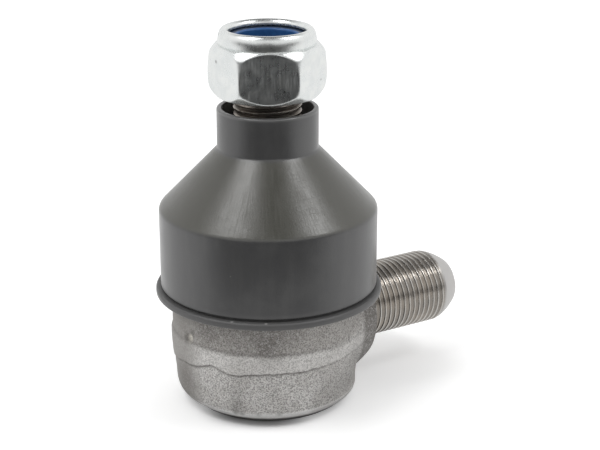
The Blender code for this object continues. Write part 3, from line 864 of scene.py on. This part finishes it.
def makeRubber(look, coats):
    made, tree, shader, spot, (x, y, z) = newMaterial("bootRubber", 0.0)
    shader.inputs["Specular IOR Level"].default_value = look["specular"]
    shader.inputs["Sheen Weight"].default_value = look["sheen"]
    shader.inputs["Sheen Roughness"].default_value = look["sheenRough"]
    skin = grain(tree, spot, size=0.35, low=0.3, high=0.7)
    bloom = grain(tree, spot, size=9.0, detail=5.0, low=0.42, high=0.72)
    smear = marks(tree, spot, (0.3, 0.3, 0.05), detail=4.0, low=0.45, high=0.75)
    dust = specks(tree, spot, spacing=3.4, width=0.06, share=0.16)
    # paler top rim of the neck: partly wear, partly a painted highlight on its rounded edge
    rim = zone(tree, z, look["rimZone"])
    # paler flange lip: partly dust, partly painted sheen where light grazes it
    lip = zone(tree, z, look["lipZone"])
    cone = times(tree, zone(tree, z, look["coneLow"]), zone(tree, z, look["coneHigh"]))
    turn = times(tree, calc(tree, "ARCTAN2", y, x), look["coneRadius"] * mm)
    unrolled = flatVector(tree, turn, z)
    lines = marks(tree, unrolled, (3.2, 0.14, 1.0), low=0.46, high=0.60)  # down the cone
    swirls = marks(tree, unrolled, (0.35, 2.6, 1.0), low=0.50, high=0.62)  # across it
    scratch = times(tree, calc(tree, "MAXIMUM", lines, times(tree, swirls, look["swirls"])), cone)
    radius = measure(tree, "LENGTH", flatVector(tree, x, y))
    nick = times(tree, zone(tree, radius, look["nickRadius"]), zone(tree, z, look["nickZone"]))  # painted shade in the groove above the flange
    inner = times(tree, zone(tree, radius, look["innerRadius"]), zone(tree, z, look["innerZone"]))  # painted light on the shaded inside of the neck
    colour = blendColours(tree, bloom, look["dark"], look["pale"])
    colour = coat(tree, colour, coats, smear=smear, rim=rim, dust=dust, lip=lip)
    for place in look["flecks"]:  # two grains of dust on the flange
        colour = coat(tree, colour, coats, fleck=smudge(tree, spot, place, look["fleckReach"]))
    colour = coat(tree, colour, coats, scratch=scratch, cone=cone, nick=nick, inner=inner)
    rough = plus(tree, look["rough"], times(tree, bloom, look["bloomRough"]),
                 times(tree, lip, look["lipRough"]), times(tree, scratch, look["scratchRough"]),
                 times(tree, nick, look["nickRough"]))
    feed(tree, shader, colour, rough, skin, look["relief"])
    return made


zincLook = dict(
    dark=(0.80, 0.825, 0.82), pale=(0.88, 0.895, 0.88), flatsZone=(86.6, 85.2), hazeZone=(76.5, 82.0),
    hazeLow=0.1, haze=0.08, scratches=0.7, wornPlain=0.3, rough=0.25, brushRough=0.05, scuffRough=0.18,
    brushHigh=0.5, cloudHigh=0.6, scuffDeep=0.5, relief=0.0018,
    pits=[((-12.0, 2.7, 83.4), 0.6), ((9.0, -8.65, 78.8), 0.4), ((-10.4, 4.3, 89.2), 0.6)])  # place and reach
zincCoats = dict(spots=(0.8, (0.16, 0.16, 0.16)), pit=(0.75, (0.25, 0.25, 0.25)))


def makeZinc(look, coats):
    made, tree, shader, spot, places = newMaterial("zincPlate", 1.0)
    z = places["Z"]
    cloud = grain(tree, spot, size=2.6, detail=5.0, high=0.7)
    brush = marks(tree, spot, (2.6, 2.6, 0.16), detail=4.0, low=0.40, high=0.72)
    scratch = marks(tree, spot, (4.0, 4.0, 0.3), detail=2.0, low=0.55, high=0.70)
    worn = grain(tree, spot, size=3.6, low=0.40, high=0.62)
    drawn = marks(tree, spot, (3.4, 3.4, 0.13), detail=4.0, low=0.36, high=0.66)
    spots = specks(tree, spot, spacing=3.4, width=0.10, share=0.14)
    flats = zone(tree, z, look["flatsZone"])
    scuff = times(tree, worn, flats, plus(tree, times(tree, scratch, look["scratches"]), look["wornPlain"]))
    haze = times(tree, drawn, flats, zone(tree, z, look["hazeZone"], look["hazeLow"]))  # dull passivation
    colour = blendColours(tree, cloud, look["dark"], look["pale"])
    colour = coat(tree, colour, coats, spots=spots)
    for place, reach in look["pits"]:
        colour = coat(tree, colour, coats, pit=smudge(tree, spot, place, reach))
    brushed = times(tree, plus(tree, brush, cloud), look["brushRough"])
    rough = plus(tree, look["rough"], brushed, times(tree, scuff, look["scuffRough"]))
    height = plus(tree, times(tree, brush, look["brushHigh"]), times(tree, cloud, look["cloudHigh"]))
    height = calc(tree, "SUBTRACT", height, times(tree, scuff, look["scuffDeep"]))
    tree.links.new(invert(tree, times(tree, haze, look["haze"])), shader.inputs["Metallic"])
    feed(tree, shader, colour, rough, height, look["relief"])
    return made


nylonLook = dict(
    dark=(0.012, 0.075, 0.23), pale=(0.02, 0.10, 0.29), rough=0.38, relief=0.01,
    faceZone=(ringShape["bore"] + 0.25, ringShape["bore"] + 0.6))
# the face coat is painted shade under the nut's lip
nylonCoats = dict(face=(0.85, (0.016, 0.024, 0.042)))


def makeNylon(look, coats):
    made, tree, shader, spot, places = newMaterial("blueNylon", 0.0)
    cloud = grain(tree, spot, size=1.4, detail=4.0)
    radius = measure(tree, "LENGTH", flatVector(tree, places["X"], places["Y"]))
    face = zone(tree, radius, look["faceZone"])  # top, painted shade under the nut's lip
    colour = coat(tree, blendColours(tree, cloud, look["dark"], look["pale"]), coats, face=face)
    feed(tree, shader, colour, look["rough"], cloud, look["relief"])
    return made


steelLook = dict(metal=0.9, cloudRough=0.15, relief=0.01)


def makeHiddenSteel(name, light, dark, roughness, look):
    made, tree, shader, spot, places = newMaterial(name, look["metal"])
    cloud = grain(tree, spot, size=2.2, detail=5.0)
    turnMarks = marks(tree, spot, (0.2, 0.2, 5.0), detail=2.0)
    colour = blendColours(tree, cloud, dark, light)
    rough = plus(tree, roughness, times(tree, cloud, look["cloudRough"]))
    feed(tree, shader, colour, rough, turnMarks, look["relief"])
    return made


plasticLook = dict(dark=(0.72, 0.70, 0.62), pale=(0.80, 0.78, 0.71), rough=0.42, relief=0.008)


def makeSeatPlastic(name, look):
    made, tree, shader, spot, places = newMaterial(name, 0.0)
    cloud = grain(tree, spot, size=2.5, detail=4.0)
    colour = blendColours(tree, cloud, look["dark"], look["pale"])
    feed(tree, shader, colour, look["rough"], grain(tree, spot, size=0.3), look["relief"])
    return made


dress(forgedHousing, makeForgedSteel(forgedLook, forgedCoats))
dress(threadedShank, makeThreadSteel(shankSteel, threadLook, shankShape))
dress(studThread, makeThreadSteel(studSteel, threadLook, studThreadShape))
dress(dustBoot, makeRubber(rubberLook, rubberCoats))
dress(locknut, makeZinc(zincLook, zincCoats))
dress(nylonRing, makeNylon(nylonLook, nylonCoats))
nodes = frame["nodes"]
for piece, name, light, dark, roughness in [
        (studShank, "turnedSteel", (0.42, 0.40, 0.38), (0.30, 0.28, 0.26), 0.3),
        (nodes["closing_plate"], "pressedSteel", (0.52, 0.51, 0.50), (0.40, 0.39, 0.38), 0.35),
        (nodes["disc_spring"], "springSteel", (0.24, 0.23, 0.22), (0.15, 0.145, 0.14), 0.35)]:
    dress(piece, makeHiddenSteel(name, light, dark, roughness, steelLook))
for node, name in (("lower_race", "lowerSeatPlastic"), ("upper_race", "upperSeatPlastic")):
    dress(nodes[node], makeSeatPlastic(name, plasticLook))
print("materials dressed")

# studio: pale floor, a softbox on either side of the camera and one behind the part
studio = dict(front=-33.7, contact=-45.0, aim=45)


def wayOut(turn, lift=0):  # direction from the part, 0 towards -Y
    turn, lift = radians(turn), radians(lift)
    return Vector((sin(turn) * cos(lift), -cos(turn) * cos(lift), sin(lift)))


frontWay = wayOut(studio["front"])
contactWay = wayOut(studio["contact"])

floorLook = dict(
    size=6, tone=0.92, lift=0.26, farLift=0.95, liftZone=(200, 700), contactZone=(19.0, 24.5),
    contactFacing=(0.68, 0.985), mirror=0.95, mirrorDark=0.905, darkFacing=(0.3, 0.86), darkZone=(60, 130),
    underZone=(20, 40), underMirror=0.05)
clearSelection()
bpy.ops.mesh.primitive_plane_add(size=floorLook["size"], location=(0, 0, 0))
floor = bpy.context.object
floor.name = "studioFloor"


def emptyTree(owner):  # for a material or world that tells rays apart
    owner.use_nodes = True
    tree = owner.node_tree
    tree.nodes.clear()
    return tree, tree.nodes.new("ShaderNodeLightPath").outputs


def makeFloorMaterial(look):
    made = bpy.data.materials.new("paleFloor")
    tree, path = emptyTree(made)
    spot = tree.nodes.new("ShaderNodeTexCoord").outputs["Object"]
    reach = measure(tree, "LENGTH", spot)
    towards = put(tree, "ShaderNodeVectorMath", {0: spot}, operation="NORMALIZE").outputs[0]
    facing = between(tree, measure(tree, "DOT_PRODUCT", towards, frontWay), *look["darkFacing"])
    shade = times(tree, facing, zone(tree, reach, look["darkZone"]))  # dark room behind the camera
    mirrorTone = calc(tree, "SUBTRACT", look["mirror"], times(tree, shade, look["mirrorDark"]))
    # painted shadow round the part, in the floor as reflections see it
    mirrorTone = times(tree, mirrorTone, zone(tree, reach, look["underZone"], look["underMirror"]))
    nearest = measure(tree, "DOT_PRODUCT", towards, contactWay)
    least = between(tree, nearest, *look["contactFacing"], 1.0, 0.0)  # darkest where the foot's shadow falls
    raised = times(tree, zone(tree, reach, look["liftZone"], look["lift"], look["farLift"]),
                   zone(tree, reach, look["contactZone"], least))
    seenLift = times(tree, path["Is Camera Ray"], raised)
    dull = put(tree, "ShaderNodeBsdfDiffuse", {"Color": (look["tone"],) * 3 + (1,)})
    lift = put(tree, "ShaderNodeEmission", {"Strength": seenLift})
    seen = put(tree, "ShaderNodeAddShader", {0: dull.outputs[0], 1: lift.outputs[0]})
    mirrored = put(tree, "ShaderNodeEmission", {"Strength": mirrorTone})
    shaders = {0: path["Is Glossy Ray"], 1: seen.outputs[0], 2: mirrored.outputs[0]}
    mixed = put(tree, "ShaderNodeMixShader", shaders)
    put(tree, "ShaderNodeOutputMaterial", {"Surface": mixed.outputs[0]})
    return made


dress(floor, makeFloorMaterial(floorLook))

surroundLook = dict(
    tone=0.57, mirror=0.9, mirrorDark=0.84, lowFacing=(0.0, 0.5), lowHeight=(0.3, 0.12),
    darkFacing=(0.86, 0.99), topHeight=(0.55, 0.88), topTone=0.21)


def makeSurround(look):
    world = scene.world or bpy.data.worlds.new("studioSurround")
    scene.world = world
    tree, path = emptyTree(world)
    way = tree.nodes.new("ShaderNodeTexCoord").outputs["Generated"]
    facing = measure(tree, "DOT_PRODUCT", way, frontWay)
    up = put(tree, "ShaderNodeSeparateXYZ", {0: way}).outputs[2]
    low = times(tree, between(tree, facing, *look["lowFacing"]), between(tree, up, *look["lowHeight"]))
    dark = calc(tree, "MAXIMUM", low, between(tree, facing, *look["darkFacing"]))  # room behind the camera
    top = between(tree, up, *look["topHeight"], 1.0, look["topTone"])
    glossy = calc(tree, "SUBTRACT", look["mirror"], times(tree, dark, look["mirrorDark"]))
    glossy = times(tree, glossy, top)
    tone = put(tree, "ShaderNodeMix", {0: path["Is Glossy Ray"], 2: look["tone"], 3: glossy}).outputs[0]
    tone = put(tree, "ShaderNodeMix", {0: path["Is Camera Ray"], 2: tone, 3: 1.0}).outputs[0]
    light = put(tree, "ShaderNodeBackground", {"Color": (1, 1, 1, 1), "Strength": tone})
    put(tree, "ShaderNodeOutputWorld", {"Surface": light.outputs[0]})


makeSurround(surroundLook)


def softbox(name, turn, lift, distance, width, height, power):
    data = bpy.data.lights.new(name, "AREA")
    data.shape = "RECTANGLE"
    data.size = width
    data.size_y = height
    data.energy = power
    lamp = bpy.data.objects.new(name, data)
    scene.collection.objects.link(lamp)
    towards = wayOut(studio["front"] + turn, lift)
    lamp.location = Vector((0, 0, studio["aim"] * mm)) + towards * distance
    lamp.rotation_euler = towards.to_track_quat("Z", "Y").to_euler()
    return lamp


softbox("leftSoftbox", turn=-61, lift=60, distance=0.75, width=0.33, height=0.33, power=1.65)
softbox("rightSoftbox", turn=77, lift=53, distance=0.75, width=0.25, height=0.25, power=1.15)
backSoftbox = softbox("backSoftbox", turn=198, lift=60, distance=0.8, width=0.6, height=0.3, power=1.2)
backSoftbox.visible_glossy = False  # for the shadow only
scene.view_settings.view_transform = "Standard"
print("studio lit")
